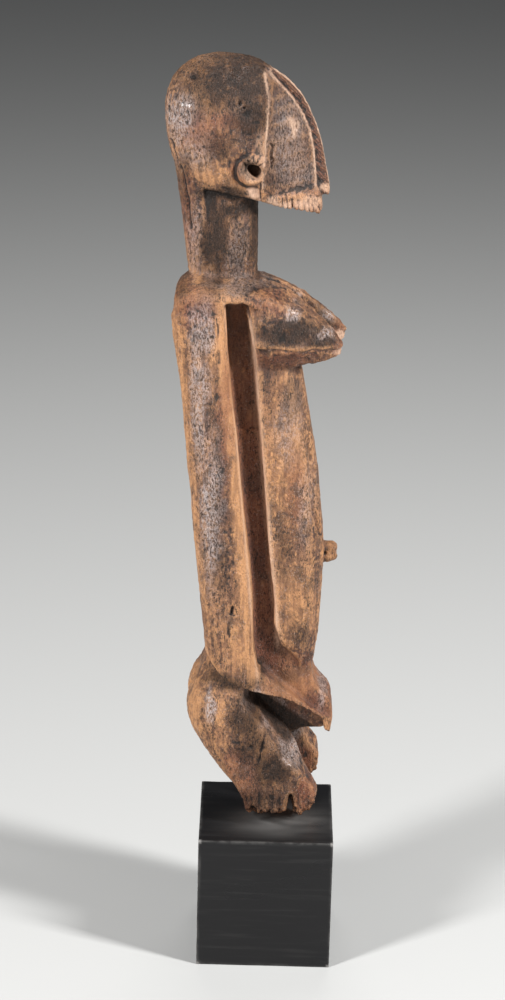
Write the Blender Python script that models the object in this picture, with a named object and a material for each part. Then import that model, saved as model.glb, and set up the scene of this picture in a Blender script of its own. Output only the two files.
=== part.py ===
"""A carved wooden figure of a woman, broken off below the knees, standing on its wooden plinth.

Metres, +Z up. The figure looks along +X, with its right side towards -Y. The origin is the
middle of the plinth's underside. The plinth is cut to its own sizes. The figure is one free
carving, so its forms are written in parts of its own height, about a millimetre each.
"""
import math

import bmesh
import bpy
from mathutils import Vector

# Driving sizes, in metres
PLINTH_LENGTH = 0.072
PLINTH_WIDTH = 0.072
PLINTH_HEIGHT = 0.075
PLINTH_EDGE = 0.0008
FIGURE_HEIGHT = 0.4136
FIGURE_SET_BACK = 0.009
SEAT_GAP = 0.0003

# The carving's proportions: x from the plinth's middle, v outwards from the figure's own
# middle plane, z up from its feet, all in parts of about a millimetre (413.4 to the height)
PARTS_HIGH = 413.4
PART = FIGURE_HEIGHT / PARTS_HIGH
ACROSS = 60.0
BOTH_SIDES = (-1, 1)
FAR_SIDE = 1

# Head: (z, back of skull, front edge of the cap, half width)
SKULL = [(345, -53.0, -10.0, 15.5), (350, -54.2, -10.0, 17.0), (359, -56.4, -10.2, 18.6),
         (369, -58.4, -10.3, 19.9), (379, -59.8, -9.0, 20.5), (389.5, -60.0, -8.0, 20.3),
         (398.7, -58.0, -8.2, 18.9), (405.3, -54.0, -9.6, 16.0), (409.4, -48.6, -13.0, 12.5),
         (412.0, -43.2, -19.0, 8.5), (413.4, -36.0, -28.0, 3.0)]
SKULL_LEVELS = (345, 350, 357, 365, 373, 381, 389, 396, 402, 406.5, 409.7, 411.6, 412.8, 413.4)
CROWN_LOW, CROWN_HIGH = 400.0, 412.0
HEAD_FULLNESS = 0.9
WIDEST_SHARE = 0.55
CAP_BEVEL = 1.0
CROWN_NARROWING = 4.0
SKULL_TILT = 0.19
TILT_MIDDLE_X, TILT_LOW, TILT_HIGH = -24.0, 345.0, 376.0
# Face: (z, front of the cheek planes, front of the nose ridge)
FACE = [(334, 19.0, 19.4), (343, 19.4, 22.6), (348, 16.4, 22.9), (356, 15.8, 21.6),
        (367, 14.6, 19.3), (377, 12.4, 16.4), (385, 8.8, 13.2), (393, 3.6, 8.6),
        (400, -2.8, 2.0), (406, -8.6, -6.0), (410, -14.0, -13.0)]
FACE_LEVELS = (334, 339, 344, 350, 358, 366, 374, 382, 389, 395, 400, 404, 407, 409.5)
FACE_SETBACK = 2.2
FACE_ROOT = 8.0
THINNEST_CHEEK = 2.0
JAW_HALF_WIDTH = 8.0
FACE_FRONT_HALF = 4.6
NOSE_HALF_WIDTH = 3.6
NOSE_FOOT, NOSE_TOP = 342.7, 409.0
NOSE_NICK = 0.7
MOUTH = ((11.0, 345.2), (30.0, 342.8), (30.0, 340.6), (11.0, 344.2))
JAW_UNDERSIDE = ((-60.0, 353.0), (-22.0, 344.6), (-9.0, 341.0), (0.0, 338.4), (9.0, 336.8), (24.0, 333.8))
UNDER_JAW = 320.0
JAW_NOTCHES = 9
NOTCH_BACK, NOTCH_FRONT = -8.0, 14.0
NOTCH_LENGTH, NOTCH_WIDTH = 6.0, 1.0
JAW_NOTCH_FLOOR = (-8.0, 12.3, 14.0, 6.6)
NOSE_NOTCHES = 15
NOSE_SLANT = 0.7
NOSE_CURVE = 10.0
NOSE_ROOT = 5.0
RIDGE_BEVEL, RIDGE_HALF_WIDTH = 1.2, 2.2
EAR_X, EAR_Z = -16.0, 359.6
EAR_RADIUS = 8.0
EAR_ROOT, EAR_REACH = 10.0, 20.3
EAR_HOLE = (-14.0, 358.2, 3.4)
EAR_HOLE_FLOOR = 12.0

# Neck: (z, back, front, half width)
NECK = [(285, -47.0, -10.0, 15.0), (300, -47.2, -11.0, 13.2), (306, -47.8, -12.0, 12.5),
        (323, -49.8, -12.2, 12.2), (338, -51.6, -12.6, 12.4), (350, -53.6, -13.0, 13.0),
        (358, -54.6, -15.0, 13.0)]
NECK_RINGS, NECK_SIDES = 8, 20
# Nape: (z, back, half width), where the back of the skull runs down into the neck
NAPE = [(314, -48.2, 10.4), (326, -49.8, 12.4), (336, -51.2, 13.8), (345, -52.6, 15.2), (353, -54.0, 16.4),
        (360, -55.4, 17.2)]
NAPE_MIDDLE = -29.3
NAPE_TURN = math.radians(65.0)
# Shoulder shelf: (x, half width, z of its underside, z of its edge, z beside the neck)
SHELF = [(-53.6, 20.0, 284.0, 288.0, 290.0), (-53.2, 23.0, 283.0, 292.0, 294.4),
         (-51.4, 26.0, 283.0, 295.4, 297.8), (-48.6, 28.2, 283.0, 297.0, 300.2),
         (-44.0, 29.2, 283.0, 297.8, 302.2), (-38.0, 29.4, 283.0, 298.2, 303.2),
         (-29.5, 29.4, 284.0, 298.0, 303.4), (-28.0, 29.4, 292.6, 298.0, 303.4),
         (-19.0, 27.6, 292.4, 296.8, 302.6), (-17.5, 26.8, 292.0, 296.2, 302.0),
         (-8.0, 25.6, 286.0, 291.8, 299.0), (0.0, 21.0, 280.0, 287.4, 294.4),
         (7.0, 15.0, 274.0, 281.0, 288.0)]
SHELF_ROUNDING = 3.0
# Far shoulder: how much lower its back corner is, and where the fall starts
FAR_DROOP = 8.0
DROOP_V, DROOP_BACK, DROOP_FRONT, DROOP_LOW, DROOP_HIGH = 26.0, -52.0, -36.0, 250.0, 292.0
# Breasts: (x, inner v, outer v, top at the inner side, top at the outer side, foot)
BREAST = [(-18.5, 2.0, 26.8, 301.6, 296.4, 257.0), (-8.0, 2.0, 28.6, 300.4, 295.0, 255.2),
          (3.0, 2.5, 28.0, 296.2, 291.0, 255.8), (13.0, 4.0, 25.6, 289.6, 285.2, 257.4),
          (21.6, 6.5, 22.0, 282.4, 279.0, 259.0), (27.0, 8.6, 19.2, 277.2, 274.8, 260.2),
          (30.4, 10.2, 17.4, 273.2, 271.4, 261.2), (32.6, 11.6, 15.6, 269.6, 268.6, 262.6)]
BREAST_LEAN = 0.2
BREAST_WAIST = 0.32
FAR_BREAST_REACH = 1.07

# Torso: (z, back, front edge of the groove, front, half width across the front slab)
TORSO = [(80, -33.0, 18.0, 18.0, 12.0), (86, -33.6, 19.6, 22.0, 13.0), (91, -34.2, 15.5, 23.2, 15.2),
         (101, -35.2, 6.6, 24.2, 18.2), (111, -36.0, 1.4, 25.0, 19.8), (131, -37.5, 0.6, 25.9, 20.6),
         (154, -40.5, -2.9, 26.2, 20.6), (167, -41.5, -4.0, 25.4, 20.6), (183, -43.0, -5.1, 23.4, 20.8),
         (207, -45.0, -7.3, 20.4, 21.0), (233, -47.5, -10.0, 15.4, 21.2), (260, -50.5, -12.7, 10.6, 22.0),
         (280, -53.8, -16.0, 6.0, 22.6), (291.5, -53.6, -20.5, -6.0, 18.0)]
GROOVE_FLOOR = 15.5
TORSO_FRONT_HALF = 10.0
SPINE_DIP = 1.6
NAVEL_Z = 149.6
NAVEL_RADIUS = 5.6
NAVEL_REACH = 33.2
NAVEL_ROOT = 20.0

# Arms: (z, back, front edge, outer v)
ARM = [(74, -32.8, -5.5, 30.5), (94, -34.4, -7.2, 31.0), (102, -35.2, -8.9, 31.0),
       (119, -37.2, -9.9, 30.8), (134, -39.0, -10.7, 30.6), (160, -41.9, -13.4, 30.2),
       (184, -44.2, -16.5, 30.0), (208, -46.6, -19.1, 29.8), (236, -49.4, -22.7, 29.7),
       (255, -51.6, -24.9, 29.7), (272, -54.2, -26.4, 29.7), (284, -55.6, -27.3, 29.6),
       (290, -55.2, -27.8, 29.2), (294, -52.2, -28.0, 27.4)]
ARM_INNER = 12.0
ARM_CHAMFER = 3.0
ARM_RINGS, TORSO_RINGS, LEG_RINGS = 23, 19, 19
ELBOW_UNDERSIDE = ((-50.0, 118.0), (-34.4, 101.0), (-27.6, 91.0), (-22.0, 86.0), (-12.6, 81.5), (-4.0, 78.5))
UNDER_ELBOW = 40.0
# Hand: outline of the plate that reaches forwards over the thigh
HAND = ((-10.5, 112.0, 0), (-10.5, 80.7, 0), (-4.0, 78.3, 0), (7.0, 74.2, 0), (20.0, 65.8, 0),
        (28.6, 58.6, 1), (29.6, 51.8, 1), (33.0, 49.8, 1), (34.4, 59.0, 2), (32.4, 69.6, 3),
        (26.0, 75.8, 3), (23.4, 80.0, 2), (21.6, 92.0, 0), (16.0, 112.0, 0))
HAND_RIM = ((-12.0, 130.0), (-12.0, 96.0), (-7.2, 93.0), (0.0, 86.0), (8.0, 78.6), (16.0, 71.4), (22.5, 65.8),
            (28.6, 61.0), (40.0, 55.0), (40.0, 130.0))
HAND_OUTER = (-9.0, 30.2, 33.0, 12.8)
HAND_PANEL = (-8.0, 15.5, 33.0, 12.0)

# Pelvis block between the legs: side outline with corner radii, and its half width
PELVIS = ((-30, 100, 4), (-35, 90, 4), (-39, 80, 4), (-41, 66, 5), (-37, 52, 5), (-28, 43, 4), (-10, 39, 4),
          (6, 43, 3), (15, 48, 2), (20, 50, 2), (28.2, 49.4, 2), (31.4, 51.6, 2), (31.8, 62, 3),
          (26, 72, 3), (20, 84, 3), (10, 100, 3))
BELLY_HALF_WIDTH = 12.2
CROTCH_HALF_WIDTH = 6.0
CROTCH_HIGH, BELLY_LOW = 56.0, 68.0
# Legs: (z, back, front at the outer side, front at the inner side, inner v, outer v)
LEG = [(90, -33.0, -12.0, -8.0, 1.5, 24.0), (86, -36.2, -12.0, -8.0, 2.0, 26.2),
       (79, -41.0, -13.0, -7.5, 2.6, 28.4), (72, -44.2, -14.0, -5.0, 3.4, 29.8),
       (65, -45.2, -7.5, -1.0, 5.0, 30.4), (57, -43.4, -3.0, 5.6, 7.0, 30.6),
       (48, -38.4, 3.2, 13.6, 9.0, 30.6), (40, -32.0, 10.4, 17.0, 10.0, 30.4),
       (31, -24.2, 19.6, 20.6, 10.6, 30.2), (24, -18.0, 26.2, 24.4, 10.8, 29.8),
       (18.5, -14.9, 25.8, 27.2, 10.8, 29.4), (14, -13.2, 23.4, 27.4, 10.6, 29.2),
       (8, -12.3, 18.6, 25.4, 10.4, 28.8), (0, -11.8, 15.0, 21.0, 10.2, 28.4)]
FAR_KNEE_FORWARD = 1.6
FAR_KNEE_LIFT = 4.0
FAR_SHIN_BACK = 3.6
SHIN_LOW, SHIN_HIGH = 4.0, 18.0
# Broken ends: height of the break along the outer side, and how it falls towards the inner side
NEAR_BREAK = ((-20, 9.6), (-11.6, 9.8), (-9.0, 11.0), (-7.4, 13.6), (-5.6, 11.2), (-0.8, 10.4), (6.0, 11.0),
              (10.4, 12.4), (12.2, 25.5), (15.0, 12.4), (18.0, 10.6), (22.0, 12.6), (24.6, 15.0), (34, 20.0))
FAR_BREAK = ((-20, 11.5), (-11.0, 12.4), (-7.0, 9.4), (-3.0, 10.6), (0.5, 17.0), (3.4, 10.2), (9.0, 9.2),
             (14.0, 12.6), (17.0, 10.4), (22.0, 11.4), (25.0, 15.4), (34, 20.0))
BREAK_FALL = 0.58
BREAK_OUTER, BREAK_INNER, BREAK_FLOOR = 29.4, 6.0, -20.0


def clear_scene():
    """Start from an empty scene."""
    for thing in list(bpy.data.objects):
        bpy.data.objects.remove(thing, do_unlink=True)


def smooth_value(stations, level):
    """The values of a smooth curve through (level, value, ...) stations, at one level."""
    rows = sorted(stations)
    level = min(max(level, rows[0][0]), rows[-1][0])
    last = len(rows) - 1
    index = max(i for i in range(last) if rows[i][0] <= level)
    low, high = rows[index], rows[index + 1]
    before, after = rows[max(index - 1, 0)], rows[min(index + 2, last)]
    span = high[0] - low[0]
    t = (level - low[0]) / span
    values = []
    for column in range(1, len(low)):
        slope_low = (high[column] - before[column]) / (high[0] - before[0]) * span
        slope_high = (after[column] - low[column]) / (after[0] - low[0]) * span
        values.append((2 * t ** 3 - 3 * t ** 2 + 1) * low[column] + (t ** 3 - 2 * t ** 2 + t) * slope_low
                      + (3 * t ** 2 - 2 * t ** 3) * high[column] + (t ** 3 - t ** 2) * slope_high)
    return values


def between(low, high, count):
    """Evenly spaced values from low to high."""
    return [low + (high - low) * step / (count - 1) for step in range(count)]


def rounded(corners, steps=2):
    """A closed outline through (a, b, radius) corners, each wide one turned into a short curve."""
    outline = []
    for index, (a, b, radius) in enumerate(corners):
        corner = Vector((a, b))
        if radius == 0:
            outline.append(corner)
            continue
        before = Vector(corners[index - 1][:2]) - corner
        after = Vector(corners[(index + 1) % len(corners)][:2]) - corner
        reach = min(radius, 0.45 * before.length, 0.45 * after.length)
        start = corner + before.normalized() * reach
        end = corner + after.normalized() * reach
        for step in range(steps + 1):
            t = step / steps
            outline.append(start * (1 - t) ** 2 + corner * 2 * t * (1 - t) + end * t ** 2)
    return outline


def mirrored(half):
    """The whole outline of (a, b, radius) corners given for b above zero, from back to front."""
    return half + [(a, -b, radius) for a, b, radius in reversed(half) if b > 0]


def loft(name, rings):
    """A closed solid skinned over rings of as many points each, in the carving's parts."""
    solid = bmesh.new()
    loops = [[solid.verts.new(point) for point in ring] for ring in rings]
    for low, high in zip(loops, loops[1:]):
        for index in range(len(low)):
            after = (index + 1) % len(low)
            solid.faces.new((low[index], low[after], high[after], high[index]))
    solid.faces.new(loops[0])
    solid.faces.new(loops[-1])
    return finish_solid(name, solid)


def finish_solid(name, solid):
    """An object from a bmesh, in flat triangles with their faces turned outwards."""
    bmesh.ops.triangulate(solid, faces=solid.faces)
    bmesh.ops.recalc_face_normals(solid, faces=solid.faces)
    mesh = bpy.data.meshes.new(name)
    solid.to_mesh(mesh)
    solid.free()
    thing = bpy.data.objects.new(name, mesh)
    bpy.context.collection.objects.link(thing)
    return thing


def slab(name, outline, near, far):
    """A plate with an (x, z) outline, between two sides given as functions of (x, z)."""
    points = rounded(outline)
    return loft(name, [[(x, side(x, z), z) for x, z in points] for side in (near, far)])


def turned(name, profile, place, sides=16):
    """A solid of revolution from (radius, reach) steps, as place(across, up, reach)."""
    rings = []
    for radius, reach in profile:
        turns = [2 * math.pi * step / sides for step in range(sides)]
        rings.append([place(radius * math.cos(turn), radius * math.sin(turn), reach) for turn in turns])
    return loft(name, rings)


def combine(base, tools, operation):
    """Add the tools to the base, or cut them from it, and remove them."""
    for tool in tools:
        boolean = base.modifiers.new(operation.title(), "BOOLEAN")
        boolean.operation = operation
        boolean.solver = "EXACT"
        boolean.object = tool
        keep_modifiers(base)
        bpy.data.objects.remove(tool, do_unlink=True)


def keep_modifiers(thing):
    """Turn an object's modified shape into its own mesh."""
    bpy.context.view_layer.update()
    shape = bpy.data.meshes.new_from_object(thing.evaluated_get(bpy.context.evaluated_depsgraph_get()))
    thing.modifiers.clear()
    thing.data = shape


def head_curve(back, middle, half, last_turn, count):
    """The rounded outline of the back of the head seen from above, from its middle to one side."""
    curve = []
    for turn in between(0, last_turn, count):
        x = middle - (middle - back) * math.cos(turn) ** HEAD_FULLNESS
        curve.append((x, half * math.sin(turn) ** HEAD_FULLNESS, 0))
    return curve


def skull():
    """The cap of the head: rounded behind, cut square at the face."""
    rings = []
    for z in SKULL_LEVELS:
        back, edge, half = smooth_value(SKULL, z)
        middle = back + WIDEST_SHARE * (edge - back)
        ring = head_curve(back, middle, half, math.pi / 2, 7)
        crown = smooth_step(z, CROWN_LOW, CROWN_HIGH)
        tilt = SKULL_TILT * (1.0 - smooth_step(z, TILT_LOW, TILT_HIGH))
        ring += [(edge - CAP_BEVEL - CROWN_NARROWING * crown, 0.93 * half, 0),
                 (edge, (0.86 - 0.4 * crown) * half, 0)]
        rings.append([(x, v, z - tilt * (x - TILT_MIDDLE_X)) for x, v in rounded(mirrored(ring))])
    return loft("skull", rings)


def face():
    """Flat cheeks that run together from the edge of the cap to the nose ridge."""
    rings = []
    for z in FACE_LEVELS:
        front, _ = smooth_value(FACE, z)
        _, edge, half = smooth_value(SKULL, z)
        cheek = max(half - FACE_SETBACK, THINNEST_CHEEK)
        pinch = (JAW_HALF_WIDTH - FACE_FRONT_HALF) * smooth_step(z, NOSE_FOOT, NOSE_FOOT + NOSE_CURVE)
        nose_side = min(JAW_HALF_WIDTH - pinch, cheek - 0.5)
        ring = [(edge - FACE_ROOT, cheek, 0), (min(edge + 1.0, front - 0.6), cheek, 0), (front, nose_side, 0)]
        rings.append([(x, v, z) for x, v in rounded(mirrored(ring))])
    solid = loft("face", rings)
    under = list(JAW_UNDERSIDE) + [(JAW_UNDERSIDE[-1][0], UNDER_JAW), (JAW_UNDERSIDE[0][0], UNDER_JAW)]
    combine(solid, [cutter("under_jaw", under)] + jaw_notches(), "DIFFERENCE")
    return solid


def smooth_step(value, low, high):
    """From 0 to 1 as a value passes from low to high."""
    t = min(max((value - low) / (high - low), 0.0), 1.0)
    return t * t * (3 - 2 * t)


def cutter(name, outline):
    """A block with an (x, z) outline that goes right across the figure."""
    corners = [(x, z, 0) for x, z in outline]
    return slab(name, corners, lambda x, z: -ACROSS, lambda x, z: ACROSS)


def nose():
    """The thin ridge down the profile of the face to the nose's tip, nicked slantwise."""
    rings = []
    for index, z in enumerate(between(NOSE_FOOT, NOSE_TOP, 2 * NOSE_NOTCHES + 1)):
        front, ridge = smooth_value(FACE, z)
        half = NOSE_HALF_WIDTH - NOSE_NICK * (index % 2)
        slant = NOSE_SLANT * smooth_step(z, NOSE_FOOT, NOSE_FOOT + NOSE_CURVE)
        slant *= 1.0 - smooth_step(z, NOSE_TOP - NOSE_CURVE, NOSE_TOP)
        ring = [(front - NOSE_ROOT, half, 0), (ridge - RIDGE_BEVEL, half, 0), (ridge, RIDGE_HALF_WIDTH, 0)]
        rings.append([(x, v, z + slant * (ridge - x)) for x, v in rounded(mirrored(ring))])
    return loft("nose", rings)


def jaw_notches():
    """Upright nicks along the lower edge of the jaw."""
    nicks = []
    jaw_foot = [(x, z) for x, z in JAW_UNDERSIDE]
    for middle in between(NOTCH_BACK, NOTCH_FRONT, JAW_NOTCHES):
        foot = smooth_value(jaw_foot, middle)[0]
        back, front = middle - NOTCH_WIDTH / 2, middle + NOTCH_WIDTH / 2
        low, high = foot - NOTCH_LENGTH, foot + NOTCH_LENGTH
        corners = [(back, high, 0), (front, high, 0), (front, low, 0), (back, low, 0)]
        for side in BOTH_SIDES:
            floor = line_through(JAW_NOTCH_FLOOR, side)(middle, foot)
            nicks.append(slab("nick", corners, lambda x, z, v=floor: v, lambda x, z, s=side: s * ACROSS))
    return nicks


def ear(side):
    """A raised round ear."""
    profile = [(EAR_RADIUS, EAR_ROOT), (EAR_RADIUS, EAR_REACH - 1.7), (EAR_RADIUS - 0.9, EAR_REACH - 0.6),
               (EAR_RADIUS - 3.0, EAR_REACH)]
    return turned("ear", profile, lambda a, b, reach: (EAR_X + a, side * reach, EAR_Z + b))


def ear_hole(side):
    """The dish and the deep hole of an ear."""
    x, z, radius = EAR_HOLE
    profile = [(radius, EAR_HOLE_FLOOR), (radius, EAR_REACH - 2.3), (radius + 1.2, EAR_REACH - 1.5),
               (radius + 2.0, EAR_REACH + 3.7)]
    return turned("ear_hole", profile, lambda a, b, reach: (x + a, side * reach, z + b), sides=12)


def neck():
    """A slim neck, deeper than it is wide."""
    rings = []
    for z in between(NECK[0][0], NECK[-1][0], NECK_RINGS):
        back, front, half = smooth_value(NECK, z)
        middle, reach = (back + front) / 2, (front - back) / 2
        turns = [2 * math.pi * step / NECK_SIDES for step in range(NECK_SIDES)]
        rings.append([(middle + reach * math.cos(turn), half * math.sin(turn), z) for turn in turns])
    return loft("neck", rings)


def nape():
    """The flare that carries the back of the skull down the neck."""
    rings = []
    for z in between(NAPE[0][0], NAPE[-1][0], 6):
        back, half = smooth_value(NAPE, z)
        ring = head_curve(back, NAPE_MIDDLE, half, NAPE_TURN, 6)
        front, side, _ = ring[-1]
        ring.append((front + 2.0, 0.5 * side, 0))
        rings.append([(x, v, z) for x, v in rounded(mirrored(ring))])
    return loft("nape", rings)


def shoulders():
    """The flat shelf of the shoulders, sloping a little from the neck to its edge."""
    rings = []
    for x, half, foot, edge, crest in SHELF:
        corners = [(foot - 3.0, 0.4 * half, 0), (foot, half - 0.6, 0.6), (edge - SHELF_ROUNDING, half, 2.0),
                   (edge, half - SHELF_ROUNDING, 3.0), (crest, 11.0, 5.0)]
        rings.append([(x, v, z) for z, v in rounded(mirrored(corners))])
    return loft("shoulders", rings)


def breast(side):
    """One pointed breast, hewn with flat top and side planes."""
    rings = []
    for row in BREAST:
        x, inner, outer, top_inner, top_outer, foot = row
        lean = BREAST_LEAN * (1.0 - smooth_step(x, BREAST[0][0], BREAST[2][0]))
        if side == FAR_SIDE and x > 0:
            x *= FAR_BREAST_REACH
        waist = foot + BREAST_WAIST * (top_outer - foot)
        width = outer - inner
        corners = [(inner, foot + 1.0, 1.5), (inner, top_inner, 2.0), (outer - 0.14 * width, top_outer, 2.5),
                   (outer, waist, 1.5), (outer - 0.26 * width, foot, 2.0)]
        rings.append([(x + lean * (top_inner - z), side * v, z) for v, z in rounded(corners)])
    return loft("breast", rings)


def torso():
    """The trunk, with a slab that stands proud in front of the grooves."""
    rings = []
    for z in between(TORSO[0][0], TORSO[-1][0], TORSO_RINGS):
        back, groove, front, half = smooth_value(TORSO, z)
        groove = min(groove, front - 3.0)
        floor = min(GROOVE_FLOOR, line_through(HAND_PANEL, 1)(groove, z) - 0.1)
        corners = [(back + SPINE_DIP, 0, 0), (back, 7.0, 2.0), (back, GROOVE_FLOOR, 2.0),
                   (min(-9.0, groove - 1.0), GROOVE_FLOOR, 0),
                   (groove, floor, 0), (groove + 0.8, half, 0.8),
                   (max(front - 6.0, groove + 1.6), half - 1.2, 2.0), (front, TORSO_FRONT_HALF, 2.5)]
        rings.append([(x, v, z) for x, v in rounded(mirrored(corners))])
    return loft("torso", rings)


def navel():
    """The blunt peg of the navel."""
    profile = [(NAVEL_RADIUS, NAVEL_ROOT), (NAVEL_RADIUS, NAVEL_REACH - 2.0),
               (NAVEL_RADIUS - 1.6, NAVEL_REACH)]
    return turned("navel", profile, lambda a, b, reach: (reach, a, NAVEL_Z + b), sides=14)


def arm(side):
    """An arm hanging straight down, flat outside, with a chamfer along its front edge."""
    rings = []
    for z in between(ARM[0][0], ARM[-1][0], ARM_RINGS):
        back, front, outer = smooth_value(ARM, z)
        corners = [(back + 2.5, ARM_INNER, 0), (back + 0.6, 19.0, 2.0), (back + 0.6, outer - 6.0, 5.0),
                   (back + 7.0, outer, 5.0), (front - ARM_CHAMFER, outer, 1.2), (front, outer - 2.4, 0.8),
                   (front + 0.3, ARM_INNER, 0)]
        rings.append([(x, side * v, z) for x, v in rounded(corners)])
    solid = loft("arm", rings)
    under = list(ELBOW_UNDERSIDE) + [(0.0, UNDER_ELBOW), (ELBOW_UNDERSIDE[0][0], UNDER_ELBOW)]
    combine(solid, [cutter("under_elbow", under)], "DIFFERENCE")
    return solid


def line_through(points, side):
    """The v of a slanting upright plane through two (x, v) points, on one side."""
    x_low, v_low, x_high, v_high = points
    return lambda x, z: side * (v_low + (v_high - v_low) * (x - x_low) / (x_high - x_low))


def hands():
    """Flat hands that run together in front of the belly, hollowed above their lower rim."""
    solid = slab("hands", HAND, line_through(HAND_OUTER, -1), line_through(HAND_OUTER, 1))
    corners = [(x, z, 0) for x, z in HAND_RIM]
    for side in BOTH_SIDES:
        hollow = slab("hollow", corners, line_through(HAND_PANEL, side), lambda x, z: side * ACROSS)
        combine(solid, [hollow], "DIFFERENCE")
    return solid


def pelvis():
    """The block between the legs, with the front of the belly that the hands hold."""
    wider = BELLY_HALF_WIDTH - CROTCH_HALF_WIDTH
    rings = []
    for side in between(-1.0, 1.0, 2):
        rings.append([(x, side * (CROTCH_HALF_WIDTH + wider * smooth_step(z, CROTCH_HIGH, BELLY_LOW)), z)
                      for x, z in rounded(PELVIS)])
    return loft("pelvis", rings)


def leg(side, break_line):
    """Buttock, bent thigh and knee, broken off at the shin with a slanting, splintered end."""
    rings = []
    for z in between(LEG[-1][0], LEG[0][0], LEG_RINGS):
        back, front_outer, front_inner, inner, outer = smooth_value(LEG, z)
        cheek = 3.0 + 8.0 * smooth_step(z, 20, 60)
        corners = [(back + 1.0, inner, 2.0), (back + 0.5, outer - cheek, cheek), (back + cheek, outer, cheek),
                   (front_outer, outer, 2.5), (front_inner, inner, 2.5)]
        knee = smooth_step(z, 0, 18) * (1.0 - smooth_step(z, 30, 60)) * (side == FAR_SIDE)
        lift = FAR_KNEE_LIFT * knee
        shin = (1.0 - smooth_step(z, SHIN_LOW, SHIN_HIGH)) * (side == FAR_SIDE)
        forward = FAR_KNEE_FORWARD * knee - FAR_SHIN_BACK * shin
        rings.append([(x + forward * (x > 0), side * v, z + lift) for x, v in rounded(corners)])
    solid = loft("leg", rings)
    combine(solid, [broken_end(side, break_line)], "DIFFERENCE")
    return solid


def broken_end(side, break_line):
    """What is missing under a leg: it reaches higher outside, and its upper side is jagged."""
    rings = []
    for v in (ACROSS, BREAK_OUTER, BREAK_INNER):
        fall = BREAK_FALL * (BREAK_OUTER - min(v, BREAK_OUTER))
        top = [(x, side * v, max(z - fall, 0.0)) for x, z in break_line]
        rings.append(top + [(x, side * v, BREAK_FLOOR) for x in (break_line[-1][0], break_line[0][0])])
    return loft("broken_end", rings)


def material(name, colour, roughness):
    """A plain surface for one piece."""
    surface = bpy.data.materials.new(name)
    surface.use_nodes = True
    shader = surface.node_tree.nodes["Principled BSDF"]
    shader.inputs["Base Color"].default_value = (*colour, 1.0)
    shader.inputs["Roughness"].default_value = roughness
    shader.inputs["Metallic"].default_value = 0.0
    return surface


def figure():
    """The whole carving, joined, set down on its plinth at its real size."""
    solid = torso()
    additions = [pelvis(), shoulders(), neck(), nape(), skull(), face(), nose(), navel(), hands()]
    additions += [breast(side) for side in BOTH_SIDES]
    additions += [arm(side) for side in BOTH_SIDES]
    additions += [leg(-FAR_SIDE, NEAR_BREAK), leg(FAR_SIDE, FAR_BREAK)]
    additions += [ear(side) for side in BOTH_SIDES]
    combine(solid, additions, "UNION")
    combine(solid, [cutter("mouth", MOUTH)] + [ear_hole(side) for side in BOTH_SIDES], "DIFFERENCE")
    solid.name = "figure"
    place_figure(solid)
    solid.data.materials.clear()
    solid.data.materials.append(material("old_wood", (0.25, 0.15, 0.09), 0.55))
    return solid


def far_droop(x, v, z):
    """How much lower a point of the far shoulder lies than its match on the near one."""
    reach = smooth_step(v, 0.0, DROOP_V) * (1.0 - smooth_step(x, DROOP_BACK, DROOP_FRONT))
    return FAR_DROOP * reach * smooth_step(z, DROOP_LOW, DROOP_HIGH)


def place_figure(solid):
    """Turn the carving's parts into metres, with its feet just clear of the plinth."""
    for vertex in solid.data.vertices:
        x, v, z = vertex.co
        z -= far_droop(x, v, z)
        vertex.co = (x * PART, v * PART + FIGURE_SET_BACK, z * PART + PLINTH_HEIGHT + SEAT_GAP)
    solid.data.shade_smooth()
    solid.data.set_sharp_from_angle(angle=math.radians(35))


def plinth():
    """The square block under the figure, with a small worn chamfer on every edge."""
    solid = bmesh.new()
    bmesh.ops.create_cube(solid, size=1.0)
    for vertex in solid.verts:
        vertex.co.x *= PLINTH_LENGTH
        vertex.co.y *= PLINTH_WIDTH
        vertex.co.z = (vertex.co.z + 0.5) * PLINTH_HEIGHT
    bmesh.ops.bevel(solid, geom=solid.edges[:], offset=PLINTH_EDGE, segments=2, profile=0.5, affect="EDGES")
    block = finish_solid("plinth", solid)
    block.data.materials.append(material("black_stained_wood", (0.02, 0.018, 0.017), 0.35))
    return block


clear_scene()
plinth()
figure()
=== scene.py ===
"""The carved wooden figure and its black plinth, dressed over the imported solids."""
import math

import bmesh
import bpy
import numpy as np
from mathutils import Matrix, Vector


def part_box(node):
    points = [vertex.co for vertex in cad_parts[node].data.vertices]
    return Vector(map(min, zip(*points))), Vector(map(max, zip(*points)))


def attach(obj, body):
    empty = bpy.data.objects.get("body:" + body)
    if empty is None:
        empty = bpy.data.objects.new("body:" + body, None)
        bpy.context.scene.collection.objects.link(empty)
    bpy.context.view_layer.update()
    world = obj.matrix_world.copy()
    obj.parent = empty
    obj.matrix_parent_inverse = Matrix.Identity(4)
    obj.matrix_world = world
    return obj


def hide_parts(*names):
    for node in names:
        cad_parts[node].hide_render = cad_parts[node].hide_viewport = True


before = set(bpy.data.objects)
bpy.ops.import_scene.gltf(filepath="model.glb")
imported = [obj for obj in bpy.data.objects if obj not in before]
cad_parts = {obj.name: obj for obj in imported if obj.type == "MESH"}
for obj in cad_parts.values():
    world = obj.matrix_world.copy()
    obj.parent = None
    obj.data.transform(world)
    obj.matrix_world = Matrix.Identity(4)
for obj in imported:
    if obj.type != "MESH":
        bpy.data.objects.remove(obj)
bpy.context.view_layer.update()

# Camera: it stands where the photograph was taken, higher than the head and looking down at the
# figure's right side, and leans by a degree and a half.
CAMERA_TARGET = Vector((-0.01168, 0.0, 0.25623))
CAMERA_DISTANCE = 1.4478
CAMERA_ELEVATION = math.radians(20.53)
CAMERA_LEAN = math.radians(1.435)
CAMERA_LENS = 99.8
SENSOR_SIZE = 36.0
NEAREST_SEEN = 0.05

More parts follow.
